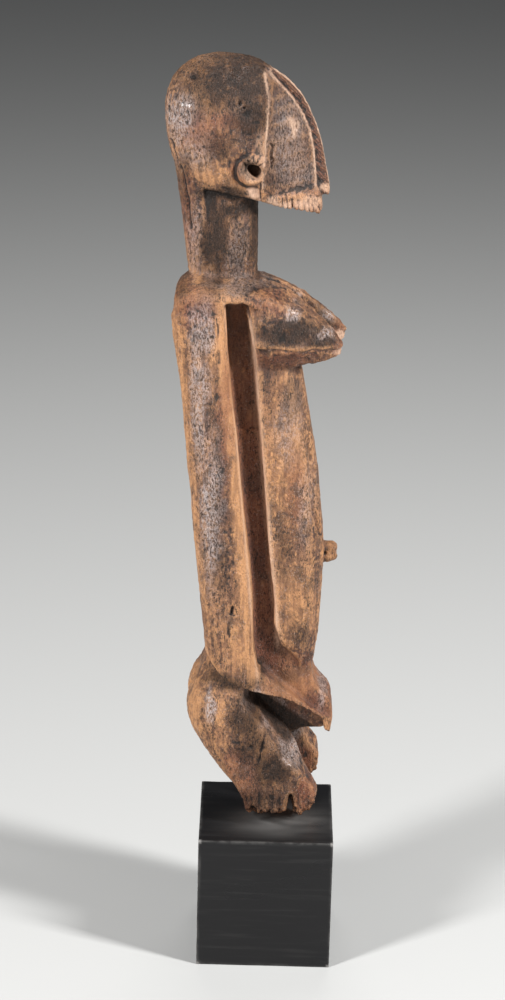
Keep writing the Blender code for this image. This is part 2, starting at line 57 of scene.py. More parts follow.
lens = bpy.data.cameras.new("camera")
lens.sensor_width = SENSOR_SIZE
lens.lens = CAMERA_LENS
lens.clip_start = NEAREST_SEEN
camera = bpy.data.objects.new("camera", lens)
bpy.context.scene.collection.objects.link(camera)
line_of_sight = Vector((0.0, math.cos(CAMERA_ELEVATION), -math.sin(CAMERA_ELEVATION)))
camera.matrix_world = (Matrix.Translation(CAMERA_TARGET - line_of_sight * CAMERA_DISTANCE)
                       @ line_of_sight.to_track_quat("-Z", "Y").to_matrix().to_4x4()
                       @ Matrix.Rotation(CAMERA_LEAN, 4, "Z"))
bpy.context.scene.camera = camera

# Figure, the skin: one carving in dense old wood. Its surface is laid afresh over the solid in
# small even faces, and softened as long handling softens wood, so that it can take tool marks.
SAME_POINT = 0.00001
SKIN_FACE = 0.00075
SOFTENING = 0.5
SOFTENING_PASSES = 3


def merged_copy(node, name):
    """A new object with a CAD node's shape, its loose triangles joined."""
    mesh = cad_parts[node].data.copy()
    mesh.name = name
    mesh.materials.clear()
    shape = bmesh.new()
    shape.from_mesh(mesh)
    bmesh.ops.remove_doubles(shape, verts=shape.verts, dist=SAME_POINT)
    shape.to_mesh(mesh)
    shape.free()
    thing = bpy.data.objects.new(name, mesh)
    bpy.context.scene.collection.objects.link(thing)
    return thing


def keep_modifiers(thing):
    """Turn an object's modified shape into its own mesh."""
    shape = bpy.data.meshes.new_from_object(thing.evaluated_get(bpy.context.evaluated_depsgraph_get()))
    thing.modifiers.clear()
    thing.data = shape


figure = merged_copy("figure", "carved_figure")
even_skin = figure.modifiers.new("even skin", "REMESH")
even_skin.mode = "VOXEL"
even_skin.voxel_size = SKIN_FACE
softening = figure.modifiers.new("softening", "SMOOTH")
softening.factor = SOFTENING
softening.iterations = SOFTENING_PASSES
keep_modifiers(figure)

# Figure, the tool marks: shallow adze cuts all over, slanting strokes on the shoulders and under
# the breasts, upright nicks on the jaw, the drying cracks, pits and chips, and torn leg ends.
# Sizes here are in millimetres: forwards, out from the middle plane, and up from the feet.
PER_METRE = 1000.0
FEET = np.array([0.0, 9.0, 75.3])
ARM_LEAN = 0.104
ARM_FOOT = 94.0
SHELF_FOOT = 290.0
GROOVE_HALF_WIDTH = 17.0
GROOVE_EXTRA_DEPTH = 0.6
SHRINKAGE = 0.25
CREASE_PASSES = 12
ADZE_DEPTH = 0.42
BREAST_CUT_DEPTH = 1.0
STROKE_DEPTH = 0.55
STROKE_SPACING = 1.9
DIAGONAL = 0.7071
CAP_STEP = 0.55
FACET_CUT = 0.8
FACET_RIM = 0.5
JAW_FOOT, JAW_SLOPE = 338.0, 0.19
JAW_NICK_PITCH, JAW_NICK_DEPTH = 2.7, 1.1
EAR_X, EAR_Z = -15.6, 358.4
EAR_RIM, EAR_LOBE, EAR_FAN = 8.9, 6.4, 6.0
EAR_CUT_DEPTH, EAR_LOBE_RISE = 1.1, 0.4
CRUST_DEPTH, GRAIN_DEPTH, WEAR_DEPTH, PEG_CHEWING = 0.22, 0.08, 0.3, 0.75
STUMP_TOP = 27.0
CAP_EDGE = ((-10.8, 406.2), (-8.5, 395.7), (-8.7, 384.9), (-9.8, 369.6), (-10.5, 352.0))
# Cracks: (depth, half width, side-view line of (x, z) places)
CRACKS = ((1.7, 0.55, ((-58.6, 389.0), (-58.2, 378.0))),
          (1.9, 0.65, ((-56.4, 371.0), (-55.2, 366.0), (-52.6, 359.0), (-49.9, 351.5), (-47.9, 340.5),
                       (-46.8, 333.0), (-46.4, 326.0))),
          (1.6, 0.6, ((-6.6, 372.0), (-5.6, 370.0), (-6.8, 366.5), (-5.7, 363.6), (-6.6, 360.2))),
          (1.2, 0.5, ((16.7, 216.4), (17.4, 211.0), (18.1, 205.7))),
          (1.7, 0.65, ((20.0, 194.5), (19.8, 186.0), (20.3, 177.7), (22.8, 169.6), (24.6, 163.2))),
          (2.0, 0.9, ((-20.7, 128.6), (-21.4, 124.8))),
          (0.8, 0.5, ((-22.4, 123.0), (-22.6, 117.0), (-22.0, 112.0))),
          (1.3, 0.6, ((-2.0, 55.0), (-2.8, 51.0), (-3.8, 46.0))),
          (0.9, 0.5, ((-3.8, 46.0), (-4.4, 42.0), (-5.6, 38.0))),
          (1.0, 0.6, ((-22.2, 302.0), (-24.0, 300.8))),
          (0.8, 0.5, ((30.5, 279.0), (30.9, 275.0), (31.4, 271.0))),
          (1.4, 0.8, ((-11.3, 352.0), (-11.4, 343.5))),
          (1.0, 0.6, ((4.6, 343.5), (4.9, 337.0))),
          (0.6, 0.45, ((-32.0, 285.0), (-31.0, 279.0), (-30.6, 262.0))))
# The two cracks of the far side lie this far from those that they repeat
FAR_SHIFT = np.array([6.0, 0.0, 9.0])
# Pits and chips: (depth, x, z, half length along x, half length along z)
PITS = ((1.6, -22.6, 392.6, 1.0, 1.3), (1.7, -20.6, 390.6, 1.2, 0.8), (0.8, -19.0, 388.0, 3.4, 2.4),
        (0.7, -46.0, 404.0, 3.2, 2.8), (0.9, -40.1, 370.6, 0.8, 0.9), (1.2, 5.4, 379.6, 1.0, 1.2),
        (0.5, 5.0, 382.0, 2.2, 3.0), (1.2, -0.1, 207.0, 0.8, 1.4), (1.0, -14.4, 347.6, 4.0, 4.2),
        (1.3, -9.2, 48.8, 1.2, 1.2), (1.8, 27.2, 150.6, 1.0, 1.6), (0.8, -15.6, 69.6, 3.4, 5.0),
        (0.7, 3.0, 297.0, 1.4, 0.9), (0.8, 6.2, 283.6, 2.6, 3.6), (0.6, -31.0, 244.0, 1.0, 3.0),
        (3.4, -18.4, 361.2, 3.4, 3.6), (0.9, 12.5, 341.0, 1.2, 2.2), (0.9, 21.0, 343.0, 1.6, 1.2))


def lattice(cells, seed):
    """One random value from -1 to 1 for each cell of a lattice, the same on each run."""
    mixed = cells[:, 0] * 73856093 ^ cells[:, 1] * 19349663 ^ cells[:, 2] * 83492791 ^ seed * 2654435761
    mixed = (mixed ^ mixed >> 13) * 1274126177
    return ((mixed ^ mixed >> 16) & 0xFFFF) / 32767.5 - 1.0


def noise(places, size, seed):
    """Smooth random values from -1 to 1 over the carving, in blobs of a given size."""
    cells = places / np.array(size)
    base = np.floor(cells).astype(np.int64)
    part = cells - base
    part = part * part * (3.0 - 2.0 * part)
    total = np.zeros(len(places))
    for corner in range(8):
        step = np.array([corner & 1, corner >> 1 & 1, corner >> 2])
        total += np.prod(np.where(step, part, 1.0 - part), axis=1) * lattice(base + step, seed)
    return total


def hollows(places, size, seed):
    """Scoops side by side, as an adze leaves them: -1 in the middle of each, 0 on the ribs between."""
    cells = places / np.array(size)
    base = np.floor(cells).astype(np.int64)
    nearest = np.full(len(places), 9.0)
    for index in range(27):
        cell = base + np.array([index % 3 - 1, index // 3 % 3 - 1, index // 9 - 1])
        middle = cell + 0.5 + 0.4 * np.stack([lattice(cell, seed + axis) for axis in range(3)], axis=1)
        nearest = np.minimum(nearest, ((cells - middle) ** 2).sum(axis=1))
    return np.minimum(nearest, 1.0) - 1.0


def ramp(values, low, high):
    """From 0 to 1 as the values pass from low to high."""
    t = np.clip((values - low) / (high - low), 0.0, 1.0)
    return t * t * (3.0 - 2.0 * t)


def band(values, rise, risen, fall, fallen):
    """From 0 to 1 as the values pass from rise to risen, and back to 0 from fall to fallen."""
    return ramp(values, rise, risen) * (1 - ramp(values, fall, fallen))


def patch(places, x, z, half_x, half_z):
    """A soft oval in side view: 1 in its middle, 0 well outside it."""
    return np.exp(-((places[:, 0] - x) / half_x) ** 2 - ((places[:, 2] - z) / half_z) ** 2)


def from_line(places, line):
    """The distance, in side view, from each place to a line of (x, z) points."""
    best = np.full(len(places), 1e9)
    for (x_low, z_low), (x_high, z_high) in zip(line, line[1:]):
        run, rise = x_high - x_low, z_high - z_low
        x, z = places[:, 0] - x_low, places[:, 2] - z_low
        along = np.clip((x * run + z * rise) / (run * run + rise * rise), 0.0, 1.0)
        best = np.minimum(best, np.hypot(x - along * run, z - along * rise))
    return best


def carving_places(mesh):
    """Each point of the mesh in millimetres, measured from the feet."""
    flat = np.empty(len(mesh.vertices) * 3)
    mesh.vertices.foreach_get("co", flat)
    return flat.reshape(-1, 3) * PER_METRE - FEET


def point_normals(mesh):
    """The outward direction at each point."""
    flat = np.empty(len(mesh.vertices) * 3)
    mesh.vertex_normals.foreach_get("vector", flat)
    return flat.reshape(-1, 3)


def straightened(places):
    """How far forwards a place is on the body, with the body's backward lean taken out."""
    return places[:, 0] + ARM_LEAN * (places[:, 2] - ARM_FOOT)


def beside(places, line):
    """How far forwards of a side-view line each place is."""
    return places[:, 0] - np.interp(places[:, 2], [z for _, z in line[::-1]], [x for x, _ in line[::-1]])


def cap_step(places):
    """The cap stands a little proud of the face, with a crisp edge between them."""
    ahead = beside(places, CAP_EDGE)
    fade = np.exp(-(ahead / 3.4) ** 2) * ramp(places[:, 2], 348.0, 354.0) * ramp(places[:, 2], 408.0, 405.0)
    return CAP_STEP * fade * np.where(ahead < 0.0, 1.0, -1.0)


def facet_edge_height(places, height):
    """The uneven edge round each breast, lower towards the tip, at a height above the feet."""
    return height - 0.045 * places[:, 0] + 1.3 * noise(places, (6.0, 9.0, 9.0), 77)


def hewn_facets(places):
    """The lower facet of each breast, cut back under a crisp edge, and the raised rim above it."""
    x, z = places[:, 0], places[:, 2]
    edge = facet_edge_height(places, 269.4)
    inside = ramp(x, -14.0, -12.0) * ramp(z, 250.0, 254.0) * (np.abs(places[:, 1]) > 11.0)
    lower = -FACET_CUT * inside * ramp(edge - z, 0.0, 0.8) * np.exp(-np.maximum(edge - z, 0.0) / 9.0)
    upper = FACET_RIM * inside * np.exp(-((z - edge - 1.2) / 2.2) ** 2)
    return lower + upper


def adze_marks(places):
    """Shallow cuts over every plane, small and deep on the breasts, hardly any on the neck."""
    z = places[:, 2]
    breasts = band(z, 252, 258, SHELF_FOOT, SHELF_FOOT + 10) * ramp(places[:, 0], -22, -14)
    neck = band(z, 303, 308, 338, 343)
    broad = hollows(places + 3.0 * noise(places, (9, 9, 9), 3)[:, None], (8.0, 9.0, 17.0), 11)
    broad_depth = ADZE_DEPTH * (1 - 0.8 * neck) * (1 - breasts) * (1 - 0.55 * ramp(z, 338, 344))
    small = hollows(places, (4.6, 5.5, 6.5), 23)
    return broad_depth * broad + BREAST_CUT_DEPTH * breasts * small


def slanting_strokes(places, spacing, seed):
    """Short narrow cuts that run down and forwards, with gaps between them."""
    across = (places[:, 0] + places[:, 2]) * DIAGONAL
    along = (places[:, 0] - places[:, 2]) * DIAGONAL
    spots = np.stack([across, places[:, 1] * 0.3, along], axis=1)
    return -ramp(noise(spots, (spacing, 6.0, 5.0), seed), 0.15, 0.6)


def jaw_nicks(places):
    """Upright nicks of uneven length along the lower edge of the jaw."""
    x, z = places[:, 0], places[:, 2]
    foot = JAW_FOOT - JAW_SLOPE * x
    edge = ramp(z - foot, 8.0, 4.0) * ramp(x, -9.0, -6.0) * ramp(z, 330, 333)
    rows = x + 0.12 * (z - foot) + 0.9 * noise(places, (3.0, 8.0, 9.0), 37)
    saw = ramp(np.cos(rows * 2 * math.pi / JAW_NICK_PITCH), 0.1, 0.9)
    return -JAW_NICK_DEPTH * edge * saw * (0.5 + 0.5 * noise(places, (5.0, 9.0, 9.0), 41))


def ear_cuts(places):
    """The crescent cut behind the ear's rim, chisel cuts that fan out above the hole, and the lobe."""
    x, z = places[:, 0] - EAR_X, places[:, 2] - EAR_Z
    reach, turn = np.hypot(x, z), np.arctan2(z, -x)
    crescent = np.exp(-((reach - EAR_RIM) / 1.0) ** 2) * ramp(np.cos(turn + 0.25), -0.25, 0.35)
    fan = np.exp(-((reach - EAR_FAN) / 1.9) ** 2) * ramp(z, 1.0, 4.5) * ramp(np.cos(turn * 16.0), 0.0, 0.8)
    lobe = np.exp(-((reach - EAR_LOBE) / 1.6) ** 2) * ramp(-x - z, 1.0, 6.0)
    return -EAR_CUT_DEPTH * crescent - EAR_CUT_DEPTH * fan + EAR_LOBE_RISE * lobe


def stump_fibres(places, normals):
    """Torn fibres at the broken ends of the legs."""
    low = 1.0 - ramp(places[:, 2], STUMP_TOP - 14.0, STUMP_TOP)
    fibres = noise(places, (1.4, 1.4, 16.0), 43) + 0.6 * noise(places, (3.0, 3.0, 9.0), 44)
    underside = ramp(-normals[:, 2], 0.1, 0.6) * ramp(places[:, 2], 0.8, 3.0)
    return low * fibres * (0.45 + 1.5 * underside)


def weathering(places):
    """Uneven wear, raised grain, a pebbled crust and the gnawed end of the navel peg."""
    crust = noise(places, (1.7, 1.7, 1.9), 51) + 0.8 * noise(places, (0.95, 0.95, 1.1), 52)
    grain = noise(places, (0.9, 0.9, 14.0), 53)
    wear = noise(places, (11.0, 11.0, 19.0), 54)
    crusty = 0.35 + 0.65 * ramp(noise(places, (8.0, 8.0, 15.0), 55), -0.4, 0.5)
    smooth_edge = ramp(np.abs(straightened(places) + 10.0), 2.5, 5.0)
    peg = ramp(places[:, 0], 26.5, 28.0) * ramp(places[:, 2], 140, 143) * ramp(places[:, 2], 160, 157)
    chewed = noise(places, (2.6, 2.6, 2.6), 56)
    pebbles = CRUST_DEPTH * crust * crusty * smooth_edge
    return pebbles + GRAIN_DEPTH * grain + WEAR_DEPTH * wear + PEG_CHEWING * peg * chewed


def named_marks(places, normals):
    """The cracks, pits and chips of the side that shows, and a few like them on the other."""
    near = ramp(-places[:, 1], 1.5, 4.0) * ramp(-normals[:, 1] + 0.55 * np.abs(normals[:, 0]), 0.0, 0.3)
    marks = np.zeros(len(places))
    wander = 0.55 * noise(places, (2.2, 2.2, 3.0), 61)
    for depth, half_width, line in CRACKS:
        gap = from_line(places, line) + wander
        marks = np.minimum(marks, -depth * np.exp(-(gap / half_width) ** 2))
    for depth, x, z, half_x, half_z in PITS:
        marks = np.minimum(marks, -depth * patch(places, x, z, half_x, half_z) ** 2)
    far_places = places + FAR_SHIFT
    far = ramp(places[:, 1], 1.5, 4.0)
    head_crack, body_crack = CRACKS[1][2], CRACKS[4][2]
    checks = -0.9 * np.exp(-((from_line(far_places, head_crack) + wander) / 0.6) ** 2)
    checks += -1.2 * np.exp(-((from_line(far_places, body_crack) + wander) / 0.6) ** 2)
    return marks * near + checks * far


def relaxed(mesh, values, passes):
    """Values at the points, each taken towards its neighbours' mean a number of times."""
    ends = np.empty(len(mesh.edges) * 2, np.int64)
    mesh.edges.foreach_get("vertices", ends)
    first, second = ends[0::2], ends[1::2]
    count = np.bincount(ends, minlength=len(values))[:, None]
    for _ in range(passes):
        total = np.zeros_like(values)
        for axis in range(values.shape[1]):
            total[:, axis] = np.bincount(first, values[second, axis], len(values))
            total[:, axis] += np.bincount(second, values[first, axis], len(values))
        values = total / np.maximum(count, 1)
    return values


places = carving_places(figure.data)
normals = point_normals(figure.data)
bulge = ((places - relaxed(figure.data, places, CREASE_PASSES)) * normals).sum(axis=1)
hewn = (places[:, 2] > 284) & (places[:, 2] < 300) & (places[:, 0] > -19) & (places[:, 0] < 3)
raw_facet = np.exp(-((places[:, 2] - 263.0) / 4.0) ** 2) * ramp(places[:, 0], -14.0, -8.0)
step_down = ramp(places[:, 2], 221.5, 223.0) * (straightened(places) > -7.5) * (straightened(places) < 4.0)
in_groove = step_down * (np.abs(places[:, 1]) < GROOVE_HALF_WIDTH)
in_groove = in_groove * ramp(SHELF_FOOT - places[:, 2], 0.0, 4.0)
cut = SHRINKAGE + adze_marks(places) + jaw_nicks(places) + ear_cuts(places)
cut += stump_fibres(places, normals) + weathering(places) + named_marks(places, normals)
strokes = STROKE_DEPTH * slanting_strokes(places, STROKE_SPACING, 71) * (0.8 * hewn + raw_facet)
cut += strokes - GROOVE_EXTRA_DEPTH * in_groove
cut += cap_step(places) + hewn_facets(places)
# The cuts fade out in the creases, where the surface would fold over itself
cut *= 1.0 - ramp(-bulge, 0.25, 0.6)
places += normals * cut[:, None]
figure.data.vertices.foreach_set("co", ((places + FEET) / PER_METRE).ravel())
figure.data.update()

# A piece stays under 200,000 triangles, and the flat parts need fewer of them than the cuts do
FIGURE_TRIANGLES = 190000
thinning = figure.modifiers.new("thinning", "DECIMATE")
thinning.ratio = FIGURE_TRIANGLES / (2.0 * len(figure.data.polygons))
keep_modifiers(figure)
figure.data.shade_smooth()

# Figure, where each finish lies, with painted light and shade among the finishes: handling has
# worn the edges back to orange wood, and the strips along the arms are painted lighter where the
# side lights catch them; soot and crust lie black on the crown, on the neck and in the hollows,
# and painted shade lies under the skull, under the hands and in the recesses; the grooves and
# breaks show red wood; waxed dust gives the broad planes a grey bloom, with painted sheen and
# glints on the lit planes, and painted highlights run along the cap's edge, the ridge and the
# arms' edges.
RIDGE = ((-8.3, 406.0), (-2.8, 400.0), (3.6, 393.0), (8.8, 385.0), (12.4, 377.0), (14.6, 367.0),
         (16.2, 352.0))
RIDGE_START = -9.0
FINE_PASSES, BROAD_PASSES = 4, 30
FINE_RELIEF, BROAD_RELIEF = 0.5, 2.4
# Patches in side view: (strength, x, z, half length along x, half length along z)
# Soot, and painted shade under the skull, under the forearm and below the arm's lower end
SOOT_AND_SHADE = ((1.0, -26, 403, 28, 16), (0.95, -17, 387, 13, 14), (0.75, -32, 372, 10, 8), (1.0, -34, 322, 7.5, 26),
        (1.0, -20, 338, 19, 5.5), (0.9, -12, 318, 6, 22), (0.75, -23, 316, 7, 18), (1.0, 5, 277, 20, 7.5),
        (1.0, 20, 272, 10, 4.5), (0.4, -10, 283, 5, 8), (0.9, -12, 64, 10, 15), (0.9, -24, 85, 12, 5),
        (1.0, -9, 88, 6, 7), (1.0, 2, 36, 12, 14), (0.85, -8, 48, 11, 11), (0.7, -3, 16, 18, 9),
        (0.6, 4, 158, 5, 16), (0.6, 16, 108, 5, 8), (0.5, -30, 190, 3, 50), (0.6, -27, 150, 4, 18),
        (1.0, -30, 346, 16, 3), (0.5, 7, 240, 5, 12), (1.0, -18.2, 360.4, 4.0, 4.8), (0.6, -50, 352, 4, 16),
        (0.5, 12, 84, 12, 4), (0.4, -37, 120, 4, 14), (0.35, -8, 252, 3, 10), (0.6, -12, 299, 14, 4),
        (0.5, 6, 261, 20, 5), (0.5, -44, 392, 10, 10), (0.5, -52, 300, 6, 5))
# Grey dust bloom, and painted sheen and highlights on the skull's back, the face, the breasts' tips, the
# buttock and the thigh's lit top
BLOOM_AND_SHEEN = ((1.0, -52, 384, 8, 13), (0.5, -44, 366, 9, 9), (0.6, 1, 372, 9, 24), (0.5, 8, 356, 9, 9),
         (0.6, -23, 316, 6, 15), (0.5, -44, 322, 4, 20), (0.8, -40, 240, 5, 40), (0.9, -33, 180, 6, 42),
         (0.8, -39, 278, 6, 16), (1.0, 6, 286, 4, 5), (1.2, 22, 276, 6, 3.5), (0.6, -20, 300, 20, 3),
         (1.0, 3, 62, 6, 7), (1.1, 13, 46, 6, 12), (1.0, -7, 75, 6, 5), (1.1, -32, 71, 2.4, 9),
         (0.4, 6, 225, 7, 20), (0.35, 16, 180, 5, 24), (0.4, -20, 392, 9, 6), (0.7, 28, 74, 3, 10),
         (0.5, -20, 406, 14, 2.5))
OCHRE = ((0.8, -37, 357, 15, 7), (0.9, -22, 351, 10, 5), (0.5, -47, 372, 6, 10), (1.0, -41, 305, 9, 2.5),
         (0.6, -34, 262, 5, 16), (0.7, 8, 130, 14, 24), (0.7, 4, 205, 14, 44), (0.7, -31, 86, 6, 4),
         (1.0, -40, 64, 4, 22), (1.0, -26, 68, 3, 9), (0.6, -15, 26, 4, 14), (0.4, -29, 300, 12, 4),
         (0.9, -16, 108, 7, 16), (1.0, 14, 80, 16, 8), (0.7, 30, 150, 4, 6))
RED = ((0.8, -14, 36, 8, 14), (0.6, 6, 338, 14, 4), (0.9, -14.5, 347.5, 4.2, 4.4),
       (0.9, -9.8, 401, 1.4, 9), (1.0, 4, 262, 18, 5.5), (0.5, 14, 78, 16, 9),
       (0.8, 21, 20, 6, 10), (0.9, -12, 14, 6, 12), (0.7, 19, 345, 6, 3), (0.8, 30, 268, 3, 8),
       (0.5, -7, 291, 9, 5), (0.6, -44, 290, 12, 9), (0.7, -40, 378, 12, 12), (0.6, -33, 384, 14, 5),
       (0.6, -26, 230, 4, 40), (0.6, -38, 110, 5, 20), (0.7, -23, 358, 3, 8), (0.5, 10, 190, 5, 24),
       (0.7, -48, 338, 4, 22), (0.5, -8, 22, 5, 10))
PALE = ((0.75, 6, 340, 15, 4), (1.0, -14.5, 347, 4, 4), (0.4, -12, 366, 2, 10), (0.9, 21, 347, 4, 3),
        (0.5, -15, 358, 6, 6), (0.9, 31, 266, 3, 3), (0.9, 4.5, 380, 2, 5))


def patches(places, rows):
    """The strengths of several ovals with ragged edges, the strongest winning."""
    x = places[:, 0] + 2.6 * noise(places, (5.0, 5.0, 8.0), 82) + 1.2 * noise(places, (2.0, 2.0, 3.0), 83)
    z = places[:, 2] + 3.4 * noise(places, (6.0, 6.0, 7.0), 84)
    total = np.zeros(len(places))
    for strength, middle_x, middle_z, half_x, half_z in rows:
        spread = ((x - middle_x) / half_x) ** 2 + ((z - middle_z) / half_z) ** 2
        total = np.maximum(total, strength * np.exp(-spread ** 2))
    return total


def ridge_band(places):
    """Where the narrow nicked band beside the edge of the nose ridge is: 1 in it, 0 off it."""
    inside = ramp(beside(places, RIDGE), -0.3, 0.3) * (places[:, 0] > RIDGE_START)
    return inside * ramp(places[:, 2], 347.0, 350.0) * ramp(408.0 - places[:, 2], 0.0, 2.0)


def keep_attribute(mesh, name, values):
    """One number at each point, for the material to read."""
    layer = mesh.attributes.new(name, "FLOAT", "POINT")
    layer.data.foreach_set("value", np.clip(values, 0.0, 1.0).astype(np.float32))


skin = figure.data
places = carving_places(skin)
normals = point_normals(skin)
fine_height = ((places - relaxed(skin, places, FINE_PASSES)) * normals).sum(axis=1)
broad_height = ((places - relaxed(skin, places, BROAD_PASSES)) * normals).sum(axis=1)
lean = straightened(places)
x, across, z = places[:, 0], np.abs(places[:, 1]), places[:, 2]

# Each zone is 1 inside its borders and 0 outside: first the arms, the grooves and the hands
on_arm = (across > GROOVE_HALF_WIDTH + 1.0) * band(z, 82, 90, SHELF_FOOT, SHELF_FOOT + 8)
groove = (across < GROOVE_HALF_WIDTH + 0.6) * band(lean, -8.6, -7.6, 5.0, 6.5) * (x > -30)
groove *= band(z, 84, 92, SHELF_FOOT, SHELF_FOOT + 4)
front_strip = on_arm * band(lean, -15.5, -11.5, -6.0, -5.0)
back_strip = on_arm * (1 - ramp(lean, -31.5, -28.0))
# Painted glint along the arm's front edge; the torso's back edge is worn and carries a painted highlight
arm_edge_glint = 0.55 * on_arm * np.exp(-((lean + 7.4) / 0.7) ** 2) * (across > 25.0)
slab_edge_wear_and_highlight = np.exp(-((lean - 4.6) / 1.6) ** 2) * band(z, 96, 104, 276, 288)
hand = ramp(lean, -6.0, -2.0) * band(z, 55, 62, 92, 104)

# The head and the face
nicked = ridge_band(places)
head = ramp(z, 346.0, 350.0) * ramp(z, 408.5, 406.0)
ahead = beside(places, CAP_EDGE)
# Painted highlights along the cap's edge and along the nose ridge
cap_edge_highlight = head * np.exp(-(ahead / 0.6) ** 2)
ridge_highlight = head * np.exp(-(beside(places, RIDGE) / 0.55) ** 2) * (x > RIDGE_START)
ridge_highlight = np.maximum(ridge_highlight, nicked * ramp(2.6 - across, 0.0, 0.8))
face = head * ramp(ahead, 0.0, 0.4)
plain = face * (1 - nicked) * ramp(z, 348.0, 352.0)

# The breasts, the body and the legs
facet_height = facet_edge_height(places, 269.6)
facet_edge = 0.7 * np.exp(-((z - facet_height) / 0.7) ** 2) * ramp(x, -14.0, -12.0)
by_hand = z < 100.0
trench = (across < np.where(by_hand, 32.0, 25.0)) * band(z, 50, 56, SHELF_FOOT, SHELF_FOOT + 6)
trench *= x < np.where(by_hand, 36.0, 27.0)
# Painted shadow under the hands and on the surfaces that face down
under_hand = ramp(70.0 - 0.72 * x - z, 0.0, 2.5) * (x > -16.0) * (places[:, 1] < 8.0)
painted_shade_underneath = under_hand * ramp(places[:, 1], -22.0, -18.0) * ramp(z, 42, 50)
facing_down = ramp(-normals[:, 2], 0.25, 0.6) * ramp(z, 50, 56) * (x < 27.0)
painted_shade_underneath = np.maximum(painted_shade_underneath, facing_down) * (1 - ramp(z, 82, 90))
neck_foot = ramp(z, 296, 300) * (z < 314)
broken = (1 - ramp(z, 10, 24)) * ramp(-normals[:, 2], -0.1, 0.5)

# Each finish, from the patches and the zones
# Soot and painted shade, with the painted shadow under the hands added in
soot_and_shade = patches(places, SOOT_AND_SHADE) * (1 - 0.9 * face) * (1 - 0.9 * facet_edge)
soot_and_shade += groove * (0.1 * ramp(z, 130, 220) + 0.3 * ramp(noise(places, (7.0, 7.0, 12.0), 81), 0.0, 0.5))
soot_and_shade = np.maximum(soot_and_shade, np.maximum(0.4 * face, painted_shade_underneath))
# Dust bloom and painted sheen
bloom_and_sheen = patches(places, BLOOM_AND_SHEEN) * (1 - painted_shade_underneath) * (1 - groove) * (1 - nicked)
bloom_and_sheen *= np.where(head * (ahead < 0.0) * (ahead > -8.0) > 0, 0.2, 1.0)
# Orange worn wood, with the arms' front and back strips painted lighter where the side lights catch them
ochre = np.maximum(patches(places, OCHRE), np.maximum(0.95 * front_strip, 0.75 * back_strip))
ochre = np.maximum(np.maximum(ochre, 0.45 * slab_edge_wear_and_highlight) * (1 - groove), 0.8 * facet_edge)
ochre = np.maximum(ochre, 0.6 * groove * ramp(z, 190, 270))
red = np.maximum(patches(places, RED) * (1 - face), np.maximum(0.7 * groove, 0.9 * nicked))
red = np.maximum(red, np.maximum(0.5 * hand, 0.7 * broken))
# Pale bare wood in patches, and painted highlights along the cap's edge, the ridge, the arm's front edge and
# the torso's back edge, which is worn as well
pale = np.maximum(patches(places, PALE), np.maximum(0.9 * slab_edge_wear_and_highlight, arm_edge_glint))
pale = np.maximum(pale, np.maximum(cap_edge_highlight, ridge_highlight))
keep_attribute(skin, "soot_and_shade", soot_and_shade * (1 - 0.8 * front_strip))
keep_attribute(skin, "bloom_and_sheen", bloom_and_sheen * (1 - 0.8 * front_strip) * (1 - 0.7 * back_strip))
keep_attribute(skin, "ochre", ochre)
keep_attribute(skin, "red", red)
keep_attribute(skin, "pale", pale)
keep_attribute(skin, "nicked", nicked)
# Dents show more faintly in the trenches, at the neck's foot and on the face, rubbed edges do not
quiet = (1 - 0.8 * trench) * (1 - 0.8 * neck_foot) * (1 - 0.85 * plain)
fine_height *= np.where(fine_height < 0.0, quiet, 1.0)
broad_height *= (1 - trench) * (1 - 0.9 * neck_foot) * (1 - plain)
keep_attribute(skin, "hollow", 0.5 - fine_height / FINE_RELIEF)
# Painted shade darkens the broad recesses, along with the crust that lies in them
keep_attribute(skin, "recess_crust_and_shade", 0.5 - broad_height / BROAD_RELIEF)

# Figure, the old wood: orange-brown heartwood under layers of soot, crust and wax, with painted
# shade, sheen, glints and edge highlights among them. The grain runs up the block, the crust and
# painted shade lie in the hollows, and the raised edges are rubbed bare.
HEARTWOOD = (0.31, 0.145, 0.070)
DARK_WOOD = (0.095, 0.041, 0.024)
OCHRE_WOOD = (0.52, 0.255, 0.110)
RED_WOOD = (0.20, 0.062, 0.029)
PALE_WOOD = (0.66, 0.43, 0.30)
GREY_BLOOM_AND_SHEEN = (0.40, 0.33, 0.31)
SMOKE_AND_SHADE_BROWN = (0.036, 0.020, 0.013)
SOOT_AND_SHADE_BLACK = (0.010, 0.008, 0.007)
# Clouds to the metre of each pattern, and the depth in metres of each relief
CLOUDS, STAINS, BLOTS, GRAIN, FLECKS, GRIT = 75.0, 120.0, 250.0, 520.0, 1150.0, 2000.0
FLECK_RELIEF, GRAIN_RELIEF, GRIT_RELIEF, NICK_RELIEF = 0.0011, 0.0005, 0.0004, 0.0005
NICK_PITCH = 0.0013
WAX_ROUGHNESS = 0.18
# Sockets of Blender's colour Mix node, whose names are the same for each kind of value
MIX_AMOUNT, MIX_BELOW, MIX_ABOVE, MIX_RESULT = 0, 6, 7, 2


